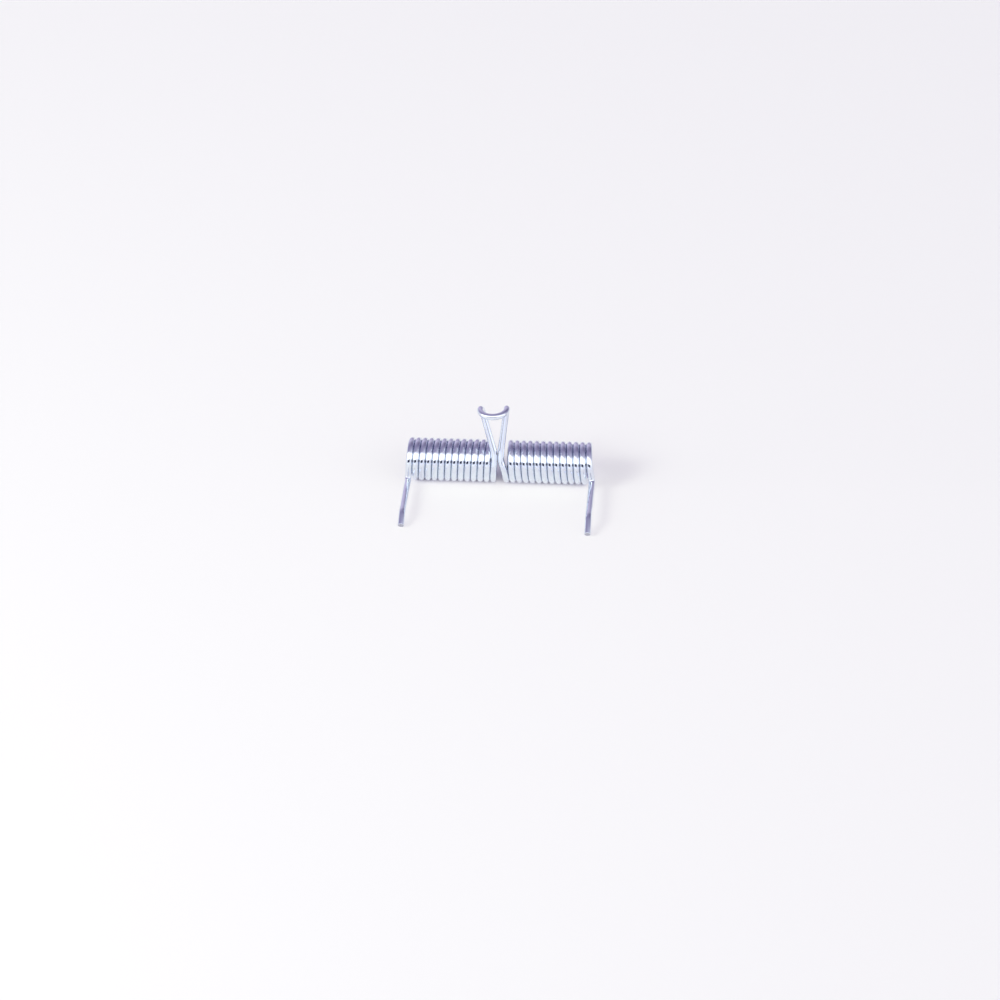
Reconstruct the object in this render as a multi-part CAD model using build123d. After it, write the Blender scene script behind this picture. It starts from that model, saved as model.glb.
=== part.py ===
"""Double torsion spring: one round steel wire wound as two opposite close-wound coils, with a hooked
loop between them and a bent leg at each outer end.

Millimetres. The origin is the middle of the coil axis. +X runs along the axis to the right coil's leg,
-Y is the side that the legs point to, and +Z is up as the spring lies on a bench, on its coils and tips.
"""

import os
from itertools import pairwise
from math import atan, ceil, cos, pi, radians, sin, sqrt, tan

from build123d import *

# Wire and coils
WIRE_DIAMETER = 3.0
COIL_INSIDE_DIAMETER = 14.0
WHOLE_TURNS = 13
TURN_CLEARANCE = 0.02  # between neighbouring turns of a close-wound coil

# Where the wire leaves each coil for the centre loop. The two coils open towards it by different amounts.
TAKEOFF_ANGLE = 21.0  # round the coil axis, from the front (-Y) up
OPENING_SWEEP = 44.0  # the part of a coil's last turn that opens
LEFT_OPENING = 0.12
RIGHT_OPENING = 1.15

# Neck: above the take-off the two wires stand side by side, square to the coil axis
NECK_LENGTH = 5.3  # between the corners of its two bends
NECK_CLEARANCE = 0.05  # between the two wires
NECK_BEND_RADIUS = 8.0

# Centre loop: two legs that spread like a V, and a round end that is folded over into a level hook
LOOP_HEIGHT = 28.0  # from the take-off to the corners where the loop is folded
LOOP_SLANT = 0.3  # the right corner is this much higher, and the left one lower
LEFT_LOOP_LEAN = 16.5  # degrees outwards
RIGHT_LOOP_LEAN = 6.7
HOOK_BEND_RADIUS = 2.5

# Outer legs: forwards from the front of the coil, then down until the tip is level with the coils' underside
LEFT_LEG_DROP = 5.5  # below the coil axis
RIGHT_LEG_DROP = 4.5
LEFT_LEG_REACH = 28.0  # between the corners of the leg's two bends
RIGHT_LEG_REACH = 28.9
LEFT_LEG_SPLAY = 1.3  # degrees outwards
RIGHT_LEG_OPENING = 0.4  # the right coil opens this much towards its leg, which then runs straight forwards
LEG_OPENING_SWEEP = 60.0
LEG_BEND_RADIUS = 2.5
TIP_ANGLE = 27.0  # degrees below level
TIP_BEND_RADIUS = 8.0

WIRE_RADIUS = WIRE_DIAMETER / 2
COIL_RADIUS = COIL_INSIDE_DIAMETER / 2 + WIRE_RADIUS
LEAD = (WIRE_DIAMETER + TURN_CLEARANCE) / (2 * pi)  # along the axis, for each radian of turn
ARC_PAIR_SWEEP = pi / 2  # the most of a turn that one pair of arcs draws
SHORTEST_LINE = 1e-6  # between two bends; with less than this they join end to end
UP_THE_LOOP = Vector(0, sin(radians(TAKEOFF_ANGLE)), cos(radians(TAKEOFF_ANGLE)))


def rounded(points, radii):
    """Lines through the points, with an arc of the given radius at each corner between them."""
    edges = []
    start = points[0]
    for before, corner, after, radius in zip(points, points[1:], points[2:], radii):
        backwards = (before - corner).normalized()
        onwards = (after - corner).normalized()
        half_angle = radians(backwards.get_angle(onwards)) / 2
        inwards = (backwards + onwards).normalized()
        arc_start = corner + backwards * (radius / tan(half_angle))
        arc_middle = corner + inwards * (radius / sin(half_angle) - radius)
        arc_end = corner + onwards * (radius / tan(half_angle))
        if (arc_start - start).length > SHORTEST_LINE:
            edges.append(Line(start, arc_start))
        edges.append(ThreePointArc(arc_start, arc_middle, arc_end))
        start = arc_end
    if (points[-1] - start).length > SHORTEST_LINE:
        edges.append(Line(start, points[-1]))
    return edges


def arc_pair(start, start_direction, end, end_direction):
    """Two arcs of equal tangent length that join two points and take both directions."""
    span = end - start
    directions = start_direction + end_direction
    apart = 2 * (1 - start_direction.dot(end_direction))
    along = span.dot(directions)
    reach = (sqrt(along**2 + apart * span.dot(span)) - along) / apart
    meeting = (start + start_direction * reach + end - end_direction * reach) * 0.5
    return [
        TangentArc(start, meeting, tangent=start_direction),
        TangentArc(end, meeting, tangent=-end_direction),
    ]


class Half:
    """The centre line of one coil with its outer leg and its leg of the loop, as the right-hand half.

    angle is in radians round the coil axis, from the take-off back towards the outer leg.
    """

    def __init__(self, opening, leg_opening=0.0):
        self.opening = opening
        self.leg_opening = leg_opening
        self.opening_sweep = radians(OPENING_SWEEP)
        self.leg_opening_sweep = radians(LEG_OPENING_SWEEP)
        self.whole_sweep = 2 * pi * WHOLE_TURNS + radians(TAKEOFF_ANGLE)
        # the wire still runs inwards at the take-off, until a neck bend has turned it square to the axis
        self.inward_angle = atan((LEAD + 2 * opening / self.opening_sweep) / COIL_RADIUS)
        past_takeoff = NECK_BEND_RADIUS * (1 - cos(self.inward_angle))
        self.takeoff_x = (WIRE_DIAMETER + NECK_CLEARANCE) / 2 + past_takeoff

    def opened(self, angle):
        """How far the coil has opened there, from 0 to 1, towards the loop and towards the leg."""
        to_loop = max(0.0, 1 - angle / self.opening_sweep)
        to_leg = max(0.0, 1 - (self.whole_sweep - angle) / self.leg_opening_sweep)
        return to_loop, to_leg

    def on_coil(self, angle):
        """The point this far back from the take-off."""
        to_loop, to_leg = self.opened(angle)
        x = self.takeoff_x + LEAD * angle + self.opening * (1 - to_loop**2) + self.leg_opening * to_leg**2
        from_front = radians(TAKEOFF_ANGLE) - angle
        return Vector(x, -COIL_RADIUS * cos(from_front), COIL_RADIUS * sin(from_front))

    def along_coil(self, angle):
        """The direction of the wire there, towards the take-off."""
        to_loop, to_leg = self.opened(angle)
        x = -LEAD - 2 * self.opening * to_loop / self.opening_sweep
        x -= 2 * self.leg_opening * to_leg / self.leg_opening_sweep
        from_front = radians(TAKEOFF_ANGLE) - angle
        round_axis = Vector(0, sin(from_front), cos(from_front)) * COIL_RADIUS
        return (Vector(x, 0, 0) + round_axis).normalized()

    def leg(self, drop, reach, splay=0.0):
        """From the tip to the start of the coil."""
        coil_start = self.on_coil(self.whole_sweep)
        down = -self.along_coil(self.whole_sweep)
        bend = coil_start + down * (drop / -down.Z)
        forwards = Vector(sin(radians(splay)), -cos(radians(splay)), 0)
        tip_bend = bend + forwards * reach
        tip_height = -COIL_RADIUS - WIRE_RADIUS + WIRE_RADIUS * cos(radians(TIP_ANGLE))
        tip_length = (tip_bend.Z - tip_height) / sin(radians(TIP_ANGLE))
        to_tip = forwards * cos(radians(TIP_ANGLE)) - Vector(0, 0, sin(radians(TIP_ANGLE)))
        tip = tip_bend + to_tip * tip_length
        return rounded([tip, tip_bend, bend, coil_start], [TIP_BEND_RADIUS, LEG_BEND_RADIUS])

    def coil(self):
        """The part that opens from the leg, the close-wound turns and the part that opens towards the
        loop, as a chain of tangent arcs."""
        close_wound_from = self.whole_sweep - self.leg_opening_sweep
        stretch_ends = [self.whole_sweep, close_wound_from, self.opening_sweep, 0.0]
        angles = [self.whole_sweep]
        for start, end in pairwise(stretch_ends):
            pairs = ceil((start - end) / ARC_PAIR_SWEEP)
            angles += [start + (end - start) * pair / pairs for pair in range(1, pairs + 1)]
        edges = []
        for here, there in pairwise(angles):
            edges += arc_pair(
                self.on_coil(here), self.along_coil(here), self.on_coil(there), self.along_coil(there)
            )
        return edges

    def loop_corners(self, lean, height):
        """The two corners of the neck, and where the loop's leg would meet the level hook if the wire
        had no bend radius."""
        takeoff = self.on_coil(0)
        neck_foot = takeoff + self.along_coil(0) * (NECK_BEND_RADIUS * tan(self.inward_angle / 2))
        neck_top = neck_foot + UP_THE_LOOP * NECK_LENGTH
        climb = height - (neck_top - takeoff).dot(UP_THE_LOOP)
        hook_corner = neck_top + Vector(1, 0, 0) * (climb * tan(radians(lean))) + UP_THE_LOOP * climb
        return [neck_foot, neck_top, hook_corner]

    def loop_leg(self, corners, hook_start):
        """From the take-off to the start of the hook's round end."""
        radii = [NECK_BEND_RADIUS, NECK_BEND_RADIUS, HOOK_BEND_RADIUS]
        return rounded([self.on_coil(0), *corners, hook_start], radii)


def mirrored(point):
    return Vector(-point.X, point.Y, point.Z)


def spring_wire():
    left = Half(LEFT_OPENING)
    right = Half(RIGHT_OPENING, RIGHT_LEG_OPENING)
    left_corners = left.loop_corners(LEFT_LOOP_LEAN, LOOP_HEIGHT - LOOP_SLANT)
    right_corners = right.loop_corners(RIGHT_LOOP_LEAN, LOOP_HEIGHT + LOOP_SLANT)

    # the hook is level, and square to the line between its two corners
    left_neck, left_corner = [mirrored(corner) for corner in left_corners[1:]]
    right_neck, right_corner = right_corners[1:]
    across = right_corner - left_corner
    forwards = across.cross(Vector(0, 0, 1)).normalized()
    fold = max((left_corner - left_neck).get_angle(forwards), (right_corner - right_neck).get_angle(forwards))
    bend_length = forwards * (HOOK_BEND_RADIUS * tan(radians(fold) / 2))
    left_start = left_corner + bend_length
    right_start = right_corner + bend_length
    round_end = (left_start + right_start) * 0.5 + forwards * (across.length / 2)

    left_edges = left.leg(LEFT_LEG_DROP, LEFT_LEG_REACH, LEFT_LEG_SPLAY) + left.coil()
    left_edges += left.loop_leg(left_corners, mirrored(left_start))
    right_edges = right.leg(RIGHT_LEG_DROP, RIGHT_LEG_REACH) + right.coil()
    right_edges += right.loop_leg(right_corners, right_start)
    centre_line = Wire(
        [edge for part in left_edges for edge in mirror(part, about=Plane.YZ).edges()]
        + ThreePointArc(left_start, round_end, right_start).edges()
        + [edge for part in right_edges for edge in part.edges()]
    )
    section = Plane(origin=centre_line @ 0, z_dir=centre_line % 0) * Circle(WIRE_RADIUS)
    return sweep(section, path=centre_line)


os.makedirs("parts", exist_ok=True)
export_step(spring_wire(), "parts/spring_wire.step")
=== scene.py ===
from math import atan, cos, pi, radians, sin, tan

import bpy
from mathutils import Matrix, Vector


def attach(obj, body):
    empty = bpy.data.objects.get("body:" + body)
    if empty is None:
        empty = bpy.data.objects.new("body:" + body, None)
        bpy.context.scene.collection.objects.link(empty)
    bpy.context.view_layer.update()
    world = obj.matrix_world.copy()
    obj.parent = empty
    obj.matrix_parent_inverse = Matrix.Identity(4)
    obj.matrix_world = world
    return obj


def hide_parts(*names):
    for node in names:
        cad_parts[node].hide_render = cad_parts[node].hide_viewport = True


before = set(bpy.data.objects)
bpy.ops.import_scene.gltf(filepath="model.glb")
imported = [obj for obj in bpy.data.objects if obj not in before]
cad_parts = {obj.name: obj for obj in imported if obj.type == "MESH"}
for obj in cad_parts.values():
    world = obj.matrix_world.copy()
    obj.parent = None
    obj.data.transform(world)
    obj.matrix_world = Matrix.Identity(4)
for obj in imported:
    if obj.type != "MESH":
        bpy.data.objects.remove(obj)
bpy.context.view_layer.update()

# ---------------------------------------------------------------------------------------------
# The spring wire. One length of hard-drawn round spring steel, cold wound on an arbor into two
# opposite coils with a hooked loop between them, its two ends bent and sheared to length. It is
# electroplated with zinc after forming, so the cut ends are plated as well as the turns.
# ---------------------------------------------------------------------------------------------
# millimetres, the same centre line as the solid
WIRE_RADIUS = 1.5
COIL_RADIUS = 8.5
WHOLE_TURNS = 13
TURN_PITCH = 3.02
LEAD = TURN_PITCH / (2 * pi)  # along the axis, for each radian of turn
TAKEOFF_ANGLE = radians(21)  # where the wire leaves the coil for the loop, round the axis from the front up
WHOLE_SWEEP = 2 * pi * WHOLE_TURNS + TAKEOFF_ANGLE
OPENING_SWEEP = radians(44)
LEG_OPENING_SWEEP = radians(60)
LEFT = {
    "opening": 0.12,  # the coil opens this much towards the loop
    "leg_opening": 0,  # and this much towards its leg
    "drop": 5.5,  # of the leg, below the coil axis
    "reach": 28.0,  # of the leg, forwards
    "splay": 1.3,  # of the leg, degrees outwards
    "height": 27.7,  # of the loop, above the take-off
    "lean": 16.5,  # of the loop, degrees outwards
}
RIGHT = {
    "opening": 1.15,
    "leg_opening": 0.4,
    "drop": 4.5,
    "reach": 28.9,
    "splay": 0,
    "height": 28.3,
    "lean": 6.7,
}
NECK_LENGTH = 5.3
NECK_GAP = 0.05  # between the two wires
NECK_BEND_RADIUS = 8.0
HOOK_BEND_RADIUS = 2.5
LEG_BEND_RADIUS = 2.5
TIP_BEND_RADIUS = 8.0
TIP_ANGLE = radians(27)  # below level
UP_THE_LOOP = Vector((0, sin(TAKEOFF_ANGLE), cos(TAKEOFF_ANGLE)))
ARC_STEP = radians(5)  # between the rings of the mesh, wherever the wire is bent
FEWEST_STEPS = 2  # in a bend
SHORTEST_STEP = 0.05  # between two rings
MM = 0.001  # in the scene's metres


def bent(corners, radii):
    """Points along a wire that runs through the corners and is bent round each at its radius."""
    points = [corners[0]]
    for before, corner, after, radius in zip(corners, corners[1:], corners[2:], radii):
        backwards = (before - corner).normalized()
        onwards = (after - corner).normalized()
        half_angle = backwards.angle(onwards) / 2
        inwards = (backwards + onwards).normalized()
        centre = corner + inwards * (radius / sin(half_angle))
        out_start = (corner + backwards * (radius / tan(half_angle)) - centre) / radius
        sweep = pi - 2 * half_angle
        steps = max(FEWEST_STEPS, round(sweep / ARC_STEP))
        for step in range(steps + 1):
            turn = sweep * step / steps
            points.append(centre + (out_start * cos(turn) - backwards * sin(turn)) * radius)
    return points + [corners[-1]]


def half(size):
    """A right-hand half of the wire: its points from the tip to the take-off, and the corners of its neck
    and of its leg of the loop."""
    inward_angle = atan((LEAD + 2 * size["opening"] / OPENING_SWEEP) / COIL_RADIUS)
    takeoff_x = WIRE_RADIUS + NECK_GAP / 2 + NECK_BEND_RADIUS * (1 - cos(inward_angle))

    def on_coil(angle):
        to_loop = max(0, 1 - angle / OPENING_SWEEP)
        to_leg = max(0, 1 - (WHOLE_SWEEP - angle) / LEG_OPENING_SWEEP)
        x = takeoff_x + LEAD * angle + size["opening"] * (1 - to_loop**2) + size["leg_opening"] * to_leg**2
        from_front = TAKEOFF_ANGLE - angle
        return Vector((x, -COIL_RADIUS * cos(from_front), COIL_RADIUS * sin(from_front)))

    # the outer leg, from its tip on the bench back to the front of the coil
    outwards = LEAD + 2 * size["leg_opening"] / LEG_OPENING_SWEEP
    coil_start = on_coil(WHOLE_SWEEP)
    bend = coil_start + Vector((outwards, 0, -COIL_RADIUS)) * (size["drop"] / COIL_RADIUS)
    forwards = Vector((sin(radians(size["splay"])), -cos(radians(size["splay"])), 0))
    tip_bend = bend + forwards * size["reach"]
    tip_height = -COIL_RADIUS - WIRE_RADIUS + WIRE_RADIUS * cos(TIP_ANGLE)
    to_tip = forwards * cos(TIP_ANGLE) - Vector((0, 0, sin(TIP_ANGLE)))
    tip = tip_bend + to_tip * ((tip_bend.z - tip_height) / sin(TIP_ANGLE))
    points = bent([tip, tip_bend, bend, coil_start], [TIP_BEND_RADIUS, LEG_BEND_RADIUS])

    steps = round(WHOLE_SWEEP / ARC_STEP)
    points += [on_coil(WHOLE_SWEEP * (1 - step / steps)) for step in range(1, steps)]

    # the neck stands square to the coil axis, and the leg of the loop leans out from its top
    inwards = Vector((-sin(inward_angle), 0, 0)) + UP_THE_LOOP * cos(inward_angle)
    takeoff = on_coil(0)
    neck_foot = takeoff + inwards * (NECK_BEND_RADIUS * tan(inward_angle / 2))
    neck_top = neck_foot + UP_THE_LOOP * NECK_LENGTH
    climb = size["height"] - (neck_top - takeoff).dot(UP_THE_LOOP)
    hook_corner = neck_top + Vector((climb * tan(radians(size["lean"])), 0, 0)) + UP_THE_LOOP * climb
    return points, [takeoff, neck_foot, neck_top, hook_corner]


left_points, left_corners = [[Matrix.Diagonal((-1, 1, 1)) @ p for p in part] for part in half(LEFT)]
right_points, right_corners = half(RIGHT)

# the hook is level, and its round end is a half circle
across_hook = right_corners[-1] - left_corners[-1]
hook_forwards = across_hook.cross(Vector((0, 0, 1))).normalized()
fold = max((corners[-1] - corners[-2]).angle(hook_forwards) for corners in (left_corners, right_corners))
left_start, right_start = [
    corners[-1] + hook_forwards * (HOOK_BEND_RADIUS * tan(fold / 2))
    for corners in (left_corners, right_corners)
]
hook_centre = (left_start + right_start) / 2
hook_steps = round(pi / ARC_STEP)
round_end = []
for step in range(1, hook_steps):
    turn = pi * step / hook_steps
    outwards = hook_forwards * sin(turn) - across_hook.normalized() * cos(turn)
    round_end.append(hook_centre + outwards * across_hook.length / 2)

loop_radii = [NECK_BEND_RADIUS, NECK_BEND_RADIUS, HOOK_BEND_RADIUS]
left_loop = bent([*left_corners, left_start], loop_radii)
right_loop = bent([*right_corners, right_start], loop_radii)
line = []
for point in left_points + left_loop + round_end + right_loop[::-1] + right_points[::-1]:
    if not line or (point - line[-1]).length > SHORTEST_STEP:
        line.append(point)

# the wire is drawn round through these points, then made a mesh
ROUNDNESS = 11  # of its section, in the curve's own steps
bpy.ops.object.select_all(action="DESELECT")
bpy.ops.curve.primitive_bezier_curve_add()
wire = bpy.context.object
wire.name = "wound_wire"
wire.data.splines.clear()
spline = wire.data.splines.new("POLY")
spline.points.add(len(line) - 1)
for knot, point in zip(spline.points, line):
    knot.co = (*(point * MM), 1)
wire.data.dimensions = "3D"
wire.data.bevel_depth = WIRE_RADIUS * MM
wire.data.bevel_resolution = ROUNDNESS
bpy.ops.object.convert(target="MESH")

# where each point lay on the straight wire, in millimetres: the die's marks run along this
on_straight_wire = wire.data.attributes.new("on_straight_wire", "FLOAT_VECTOR", "POINT")
ring = len(wire.data.vertices) // len(line)
along = 0
for number, point in enumerate(line):
    along += (point - line[max(number - 1, 0)]).length
    for corner in range(ring):
        turn = 2 * pi * corner / ring
        unwound = (along, WIRE_RADIUS * cos(turn), WIRE_RADIUS * sin(turn))
        on_straight_wire.data[number * ring + corner].vector = unwound

# the sheared ends, with the slight round that the blade and the plating leave on their edge
END_ROUND = 0.15
END_ROUND_STEPS = 3
SHARPEST_SMOOTH_EDGE = radians(50)
bpy.ops.object.mode_set(mode="EDIT")
bpy.ops.mesh.select_mode(type="EDGE")
bpy.ops.mesh.select_all(action="DESELECT")
bpy.ops.mesh.select_non_manifold()
bpy.ops.mesh.fill_holes(sides=0)
bpy.ops.mesh.select_all(action="SELECT")
bpy.ops.mesh.normals_make_consistent()
bpy.ops.mesh.select_mode(type="FACE")
bpy.ops.mesh.select_all(action="DESELECT")
bpy.ops.mesh.select_face_by_sides(number=ring)
bpy.ops.mesh.select_mode(type="EDGE")
bpy.ops.mesh.bevel(offset=END_ROUND * MM, segments=END_ROUND_STEPS)
bpy.ops.object.mode_set(mode="OBJECT")
bpy.ops.object.shade_smooth_by_angle(angle=SHARPEST_SMOOTH_EDGE)


def linear(hex_colour):
    """An sRGB hex colour as the linear colour that a socket takes."""
    channels = [int(hex_colour[i : i + 2], 16) / 255 for i in (1, 3, 5)]
    return (*(c / 12.92 if c <= 0.04045 else ((c + 0.055) / 1.055) ** 2.4 for c in channels), 1)


def add_node(tree, kind, settings=(), links=()):
    """Adds a node, sets its sockets and properties by name or number, and links its inputs."""
    node = tree.nodes.new(kind)
    for name, value in dict(settings).items():
        if isinstance(name, int) or name in node.inputs:
            node.inputs[name].default_value = value
        else:
            setattr(node, name, value)
    for name, source in dict(links).items():
        tree.links.new(source, node.inputs[name])
    return node


# Bright zinc plate with a clear blue passivate, over drawn wire: a mirror-like, cold blue-white metal whose
# coat clouds a little from place to place, with faint lines along the wire from the drawing die.
CLOUD_WIDTH = 3.5
CLOUD_TINTS = ((0.35, "#E0E5F1"), (0.65, "#E8EFF7"))
zinc = bpy.data.materials.new("bright_zinc_plate")
zinc.use_nodes = True
tree = zinc.node_tree
metal = tree.nodes["Principled BSDF"]
metal.inputs["Metallic"].default_value = 1.0
place = add_node(tree, "ShaderNodeAttribute", {"attribute_name": "on_straight_wire"}).outputs["Vector"]
clouds = add_node(tree, "ShaderNodeTexNoise", {"Scale": 1 / CLOUD_WIDTH, "Detail": 3.0}, {"Vector": place})
plate = add_node(tree, "ShaderNodeValToRGB", links={"Fac": clouds.outputs["Fac"]})
for stop, (position, tint) in zip(plate.color_ramp.elements, CLOUD_TINTS):
    stop.position = position
    stop.color = linear(tint)
tree.links.new(plate.outputs["Color"], metal.inputs["Base Color"])

# Drawing lines are a few hundredths of a millimetre wide and centimetres long. They are drawn three times
# as wide here, to show at all.
LINE_WIDTH = 0.12
LINE_LENGTH = 12.0
LINE_DEPTH = 0.004
FAINTEST_LINE = 0.3
STRONGEST_LINE = 0.7
SMOOTHEST_PLATE = 0.07
ROUGHEST_PLATE = 0.13
stretched = add_node(
    tree, "ShaderNodeMapping", {"Scale": (1 / LINE_LENGTH, 1 / LINE_WIDTH, 1 / LINE_WIDTH)}, {"Vector": place}
).outputs["Vector"]
die_lines = add_node(
    tree, "ShaderNodeTexNoise", {"Scale": 1.0, "Detail": 2.0}, {"Vector": stretched}
).outputs["Fac"]
gloss = add_node(
    tree, "ShaderNodeMapRange",
    {
        "From Min": FAINTEST_LINE,
        "From Max": STRONGEST_LINE,
        "To Min": SMOOTHEST_PLATE,
        "To Max": ROUGHEST_PLATE,
    },
    {"Value": die_lines},
).outputs["Result"]
tree.links.new(gloss, metal.inputs["Roughness"])
relief = add_node(
    tree, "ShaderNodeBump", {"Strength": 0.25, "Distance": LINE_DEPTH * MM}, {"Height": die_lines}
).outputs["Normal"]
tree.links.new(relief, metal.inputs["Normal"])
wire.data.materials.append(zinc)

# The sheared ends are plated too, but over torn and burnished steel: duller and greyer, with the blade's
# scores across them.
SCORE_WIDTH = 0.2
SCORE_LENGTH = 20 / 3
SCORE_DEPTH = 0.02
SMOOTHEST_CUT = 0.3
ROUGHEST_CUT = 0.5
shear_cut = bpy.data.materials.new("plated_shear_cut")
shear_cut.use_nodes = True
tree = shear_cut.node_tree
metal = tree.nodes["Principled BSDF"]
metal.inputs["Metallic"].default_value = 1.0
metal.inputs["Base Color"].default_value = linear("#B9B9C6")
place = add_node(tree, "ShaderNodeTexCoord").outputs["Object"]
across = 1 / (SCORE_WIDTH * MM)
stretched = add_node(
    tree, "ShaderNodeMapping", {"Scale": (across, across, 1 / (SCORE_LENGTH * MM))}, {"Vector": place}
).outputs["Vector"]
scores = add_node(
    tree, "ShaderNodeTexNoise", {"Scale": 1.0, "Detail": 3.0}, {"Vector": stretched}
).outputs["Fac"]
grit = add_node(
    tree, "ShaderNodeMapRange", {"To Min": SMOOTHEST_CUT, "To Max": ROUGHEST_CUT}, {"Value": scores}
).outputs["Result"]
tree.links.new(grit, metal.inputs["Roughness"])
relief = add_node(
    tree, "ShaderNodeBump", {"Strength": 0.6, "Distance": SCORE_DEPTH * MM}, {"Height": scores}
).outputs["Normal"]
tree.links.new(relief, metal.inputs["Normal"])
wire.data.materials.append(shear_cut)
for face in wire.data.polygons:
    if len(face.vertices) == ring:
        face.material_index = wire.data.materials.find(shear_cut.name)
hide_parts("spring_wire")
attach(wire, "root")

# ---------------------------------------------------------------------------------------------
# The bench top that the spring lies on: a sheet of matt white card, laid flat. The camera and the
# plating see it near white, with the spring's own soft shadow kept.
# ---------------------------------------------------------------------------------------------
SHEET_SIZE = 6  # metres
BENCH_HEIGHT = -(COIL_RADIUS + WIRE_RADIUS) * MM  # level with the undersides of the coils and the leg tips
bpy.ops.mesh.primitive_plane_add(size=SHEET_SIZE, location=(0, 0, BENCH_HEIGHT))
floor = bpy.context.object
floor.name = "floor"

# Matt white card, pressed and uncoated, so it has an even white with no highlight. Where it is shut in, under
# and between the coils, a lilac shade is painted into its colour.
CARD_WHITE = "#FCFAFD"
CARD_IN_THE_OPEN = "#FCFCF7"
# painted shade: the lilac put into the card's colour where it is shut in
CARD_PAINTED_SHADE = "#D4D0EA"
NEAR_THE_WIRE = 0.02  # metres
OPEN_ABOVE = 0.85  # of 1, which is card with nothing near it
SHUT_IN_BELOW = 0.4
card = bpy.data.materials.new("matt_white_card")
card.use_nodes = True
tree = card.node_tree
shaded = tree.nodes["Principled BSDF"]
shaded.inputs["Roughness"].default_value = 0.9
shaded.inputs["Specular IOR Level"].default_value = 0.2
# openness leans to the front, so the card behind the coils counts as more shut in than the card before them
up_and_forwards = add_node(tree, "ShaderNodeCombineXYZ", {"Y": -0.8, "Z": 0.6}).outputs["Vector"]
openness = add_node(
    tree, "ShaderNodeAmbientOcclusion", {"Distance": NEAR_THE_WIRE, "samples": 8}, {"Normal": up_and_forwards}
).outputs["AO"]
# how much painted lilac shade the card takes, full where it is most shut in
painted_shade = add_node(
    tree, "ShaderNodeMapRange", {"From Min": OPEN_ABOVE, "From Max": SHUT_IN_BELOW}, {"Value": openness}
).outputs["Result"]
# the card's own white, with the painted shade mixed in
card_colour_and_painted_shade = add_node(
    tree, "ShaderNodeMix", {"data_type": "RGBA", 6: linear(CARD_IN_THE_OPEN), 7: linear(CARD_PAINTED_SHADE)},
    {0: painted_shade},
).outputs[2]
tree.links.new(card_colour_and_painted_shade, shaded.inputs["Base Color"])

# the share of the card's own shading in what the camera and the plating see, by how open the card is: all of
# it where the card is most shut in, least just round that, and a little more behind the coils than in front
SHARES = ((0.45, 1.0), (0.57, 0.3), (0.8, 0.3), (0.92, 0.65))
MORE_BEHIND = 0.15
BEHIND_FROM = -0.005  # metres back from the coil axis
BEHIND_TO = 0.012
by_openness = add_node(tree, "ShaderNodeValToRGB", links={"Fac": openness})
stops = by_openness.color_ramp.elements
first, *others, last = SHARES
for position, part in others:
    stops.new(position).color = (part, part, part, 1)
for stop, (position, part) in ((stops[0], first), (stops[-1], last)):
    stop.position = position
    stop.color = (part, part, part, 1)
place = add_node(tree, "ShaderNodeTexCoord").outputs["Object"]
backwards = add_node(tree, "ShaderNodeSeparateXYZ", links={"Vector": place}).outputs["Y"]
behind = add_node(
    tree, "ShaderNodeMapRange", {"From Min": BEHIND_FROM, "From Max": BEHIND_TO, "To Max": MORE_BEHIND},
    {"Value": backwards},
).outputs["Result"]
share = add_node(
    tree, "ShaderNodeMix", {"data_type": "FLOAT", 3: 1.0}, {0: behind, 2: by_openness.outputs["Color"]}
).outputs[0]
white = add_node(tree, "ShaderNodeEmission", {"Color": linear(CARD_WHITE), "Strength": 1.0})
lit = add_node(tree, "ShaderNodeMixShader", links={"Fac": share, 1: white.outputs[0], 2: shaded.outputs[0]})
seen_by = add_node(tree, "ShaderNodeLightPath").outputs
seen = seen_by["Is Camera Ray"]
for ray in ("Is Glossy Ray", "Is Transmission Ray"):
    seen = add_node(tree, "ShaderNodeMath", {"operation": "MAXIMUM"}, {0: seen, 1: seen_by[ray]}).outputs[0]
surface = add_node(tree, "ShaderNodeMixShader", links={"Fac": seen, 1: shaded.outputs[0], 2: lit.outputs[0]})
tree.links.new(surface.outputs[0], tree.nodes["Material Output"].inputs["Surface"])
floor.data.materials.append(card)

# ---------------------------------------------------------------------------------------------
# The studio, as a world colour by direction: a white softbox in front and above, a lilac ceiling
# over it, pale walls with a grey flag on each side, and a small dark stand low in front. Each is
# placed by where the coils show it, so it draws a straight band or a row of dots along them.
# ---------------------------------------------------------------------------------------------
world = bpy.data.worlds.new("studio")
bpy.context.scene.world = world
world.use_nodes = True
tree = world.node_tree

# half way from the view to a direction is how the plating faces where it shows that direction
VIEW_ELEVATION = radians(34)
VIEW_FROM = (0, -cos(VIEW_ELEVATION), sin(VIEW_ELEVATION))
direction = add_node(tree, "ShaderNodeTexCoord").outputs["Generated"]
half_way = add_node(
    tree, "ShaderNodeVectorMath", {"operation": "ADD", 1: VIEW_FROM}, {0: direction}
).outputs[0]
facing = add_node(tree, "ShaderNodeVectorMath", {"operation": "NORMALIZE"}, {0: half_way}).outputs[0]
to_right, to_back, to_top = add_node(tree, "ShaderNodeSeparateXYZ", links={"Vector": facing}).outputs
to_front = add_node(tree, "ShaderNodeMath", {"operation": "MULTIPLY", 1: -1.0}, {0: to_back}).outputs[0]
to_side = add_node(tree, "ShaderNodeMath", {"operation": "ABSOLUTE"}, {0: to_right}).outputs[0]
turned_up = add_node(tree, "ShaderNodeMath", {"operation": "ARCTAN2"}, {0: to_top, 1: to_front}).outputs[0]

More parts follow.
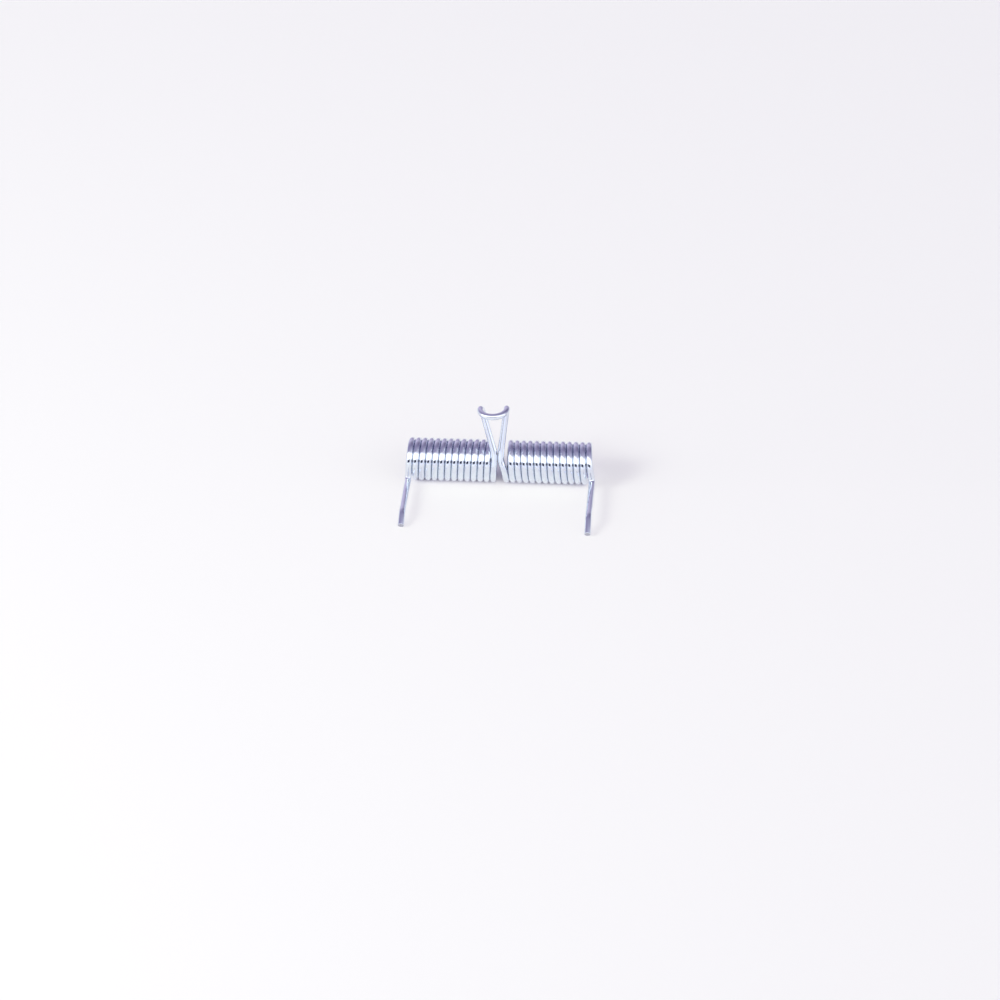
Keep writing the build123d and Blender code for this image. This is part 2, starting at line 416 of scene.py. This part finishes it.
# what a turn shows, by degrees round it from its front (0) over its top (90), in the room's left and right
LAST_ANGLE = 120
ON_LEFT = (
    (0, "#D9DCEA"), (29, "#E4E6EF"), (33, "#FFFFFF"), (48, "#FFFFFF"), (54, "#7E7792"), (62, "#807A95"),
    (70, "#7A7390"), (80, "#9890A8"), (90, "#B4AAC2"), (98, "#A69CB4"), (110, "#9088A2"),
)
ON_RIGHT = (
    (0, "#DADCEC"), (29, "#E8E9F2"), (33, "#FFFFFF"), (43, "#FFFFFF"), (51, "#BBB8CC"), (60, "#A09CB4"),
    (70, "#7C7692"), (80, "#746C88"), (90, "#A5A0B8"), (98, "#9C96AE"), (110, "#A098AE"),
)
round_the_turn = add_node(
    tree, "ShaderNodeMapRange", {"From Max": radians(LAST_ANGLE)}, {"Value": turned_up}
).outputs["Result"]
bands = []
for first, *others, last in (ON_LEFT, ON_RIGHT):
    band = add_node(tree, "ShaderNodeValToRGB", links={"Fac": round_the_turn})
    stops = band.color_ramp.elements
    for angle, colour in others:
        stops.new(angle / LAST_ANGLE).color = linear(colour)
    for stop, (angle, colour) in ((stops[0], first), (stops[-1], last)):
        stop.position = angle / LAST_ANGLE
        stop.color = linear(colour)
    bands.append(band.outputs["Color"])
FULLY_LEFT = -0.4
FULLY_RIGHT = 0.35
rightness = add_node(
    tree, "ShaderNodeMapRange", {"From Min": FULLY_LEFT, "From Max": FULLY_RIGHT}, {"Value": to_right}
).outputs["Result"]
room = add_node(
    tree, "ShaderNodeMix", {"data_type": "RGBA"}, {"Factor": rightness, 6: bands[0], 7: bands[1]}
).outputs[2]

# the softbox is the brightest thing in the room
SOFTBOX_GAIN = 1.3
SOFTBOX_FOOT = (radians(30), radians(33))
SOFTBOX_HEAD = (radians(46), radians(50))
brighter = add_node(
    tree, "ShaderNodeMapRange",
    {"From Min": SOFTBOX_FOOT[0], "From Max": SOFTBOX_FOOT[1], "To Min": 1.0, "To Max": SOFTBOX_GAIN},
    {"Value": turned_up},
).outputs["Result"]
dimmer = add_node(
    tree, "ShaderNodeMapRange",
    {"From Min": SOFTBOX_HEAD[0], "From Max": SOFTBOX_HEAD[1], "To Min": 1.0, "To Max": 1 / SOFTBOX_GAIN},
    {"Value": turned_up},
).outputs["Result"]
gain = add_node(tree, "ShaderNodeMath", {"operation": "MULTIPLY"}, {0: brighter, 1: dimmer}).outputs[0]
room = add_node(tree, "ShaderNodeVectorMath", {"operation": "SCALE"}, {0: room, "Scale": gain}).outputs[0]

# past the ceiling's two sides are the walls, darker high up
LOW_WALL = "#E4E2EC"
HIGH_WALL = "#A5A3B6"
CEILING_EDGE = (0.6, 0.68)
WALL_DARKENS = (radians(50), radians(62))
past_ceiling = add_node(
    tree, "ShaderNodeMapRange", {"From Min": CEILING_EDGE[0], "From Max": CEILING_EDGE[1]}, {"Value": to_side}
).outputs["Result"]
high_up = add_node(
    tree, "ShaderNodeMapRange", {"From Min": WALL_DARKENS[0], "From Max": WALL_DARKENS[1]},
    {"Value": turned_up},
).outputs["Result"]
wall = add_node(
    tree, "ShaderNodeMix", {"data_type": "RGBA", 6: linear(LOW_WALL), 7: linear(HIGH_WALL)}, {0: high_up}
).outputs[2]
room = add_node(
    tree, "ShaderNodeMix", {"data_type": "RGBA"}, {"Factor": past_ceiling, 6: room, 7: wall}
).outputs[2]

# the flags and the stand in front of all that, each within soft edges: where it is clear, and where full
FLAG_GREY = "#A5A3B6"
FLAG_EDGES = (
    (turned_up, radians(27), radians(30)),
    (to_side, 0.64, 0.72),
)
STAND_DARK = "#181A36"
STAND_EDGES = (
    (turned_up, radians(22), radians(23.6)),
    (turned_up, radians(31), radians(29.5)),
    (to_right, 0.25, 0.14),
    (to_right, -0.54, -0.4),
)
for colour, edges in ((FLAG_GREY, FLAG_EDGES), (STAND_DARK, STAND_EDGES)):
    covered = None
    for measure, clear, full in edges:
        within = add_node(
            tree, "ShaderNodeMapRange", {"From Min": clear, "From Max": full}, {"Value": measure}
        ).outputs["Result"]
        if covered:
            within = add_node(
                tree, "ShaderNodeMath", {"operation": "MULTIPLY"}, {0: covered, 1: within}
            ).outputs[0]
        covered = within
    room = add_node(
        tree, "ShaderNodeMix", {"data_type": "RGBA", 7: linear(colour)}, {"Factor": covered, 6: room}
    ).outputs[2]

# the room is brighter on the left
LEVEL_ON_LEFT = 1.55
LEVEL_ON_RIGHT = 1.2
level = add_node(
    tree, "ShaderNodeMapRange",
    {"From Min": FULLY_LEFT, "From Max": FULLY_RIGHT, "To Min": LEVEL_ON_LEFT, "To Max": LEVEL_ON_RIGHT},
    {"Value": to_right},
).outputs["Result"]
background = tree.nodes["Background"]
tree.links.new(room, background.inputs["Color"])
tree.links.new(level, background.inputs["Strength"])

# a small softbox high on the left throws the shadows, and the plating shows the studio alone
KEY_FROM = Vector((-1.035, -0.675, 0.85))  # metres
KEY_SIZE = 0.5
KEY_WATTS = 8.5
KEY_COLOUR = "#F9FFF0"
key_turn = KEY_FROM.to_track_quat("Z", "Y").to_euler()
bpy.ops.object.light_add(type="AREA", location=KEY_FROM, rotation=key_turn)
key = bpy.context.object
key.name = "left_softbox"
key.visible_glossy = False
key.data.shape = "SQUARE"
key.data.size = KEY_SIZE
key.data.energy = KEY_WATTS
key.data.color = linear(KEY_COLOUR)[:3]

# ---------------------------------------------------------------------------------------------
# The camera: a long lens on a tripod, far enough back that the turns show no perspective, 34
# degrees above the bench, a little to the right of the middle and tipped by less than a degree.
# ---------------------------------------------------------------------------------------------
AZIMUTH = radians(4.35)
ROLL = radians(-0.80)
LENS = 288  # millimetres
SENSOR_WIDTH = 36
FRAME_PIXELS = 1000
FRAME_CENTRE = FRAME_PIXELS / 2
PIXELS_PER_METRE = 2162  # at the coil axis
ORIGIN_X = 498.70  # where the middle of the coil axis is in the frame
ORIGIN_Y = 460.77
NEAREST = 0.1  # metres, that it sees
FARTHEST = 20
distance = LENS / SENSOR_WIDTH * FRAME_PIXELS / PIXELS_PER_METRE
off_centre = Vector(
    ((FRAME_CENTRE - ORIGIN_X) / PIXELS_PER_METRE, (ORIGIN_Y - FRAME_CENTRE) / PIXELS_PER_METRE, distance)
)
turned = Matrix.Rotation(AZIMUTH, 3, "Z") @ Matrix.Rotation(pi / 2 - VIEW_ELEVATION, 3, "X")
turned = turned @ Matrix.Rotation(ROLL, 3, "Z")
bpy.ops.object.camera_add(location=turned @ off_centre, rotation=turned.to_euler())
camera = bpy.context.object
camera.data.lens = LENS
camera.data.sensor_width = SENSOR_WIDTH
camera.data.clip_start = NEAREST
camera.data.clip_end = FARTHEST
bpy.context.scene.camera = camera

bpy.context.scene.view_settings.view_transform = "Standard"
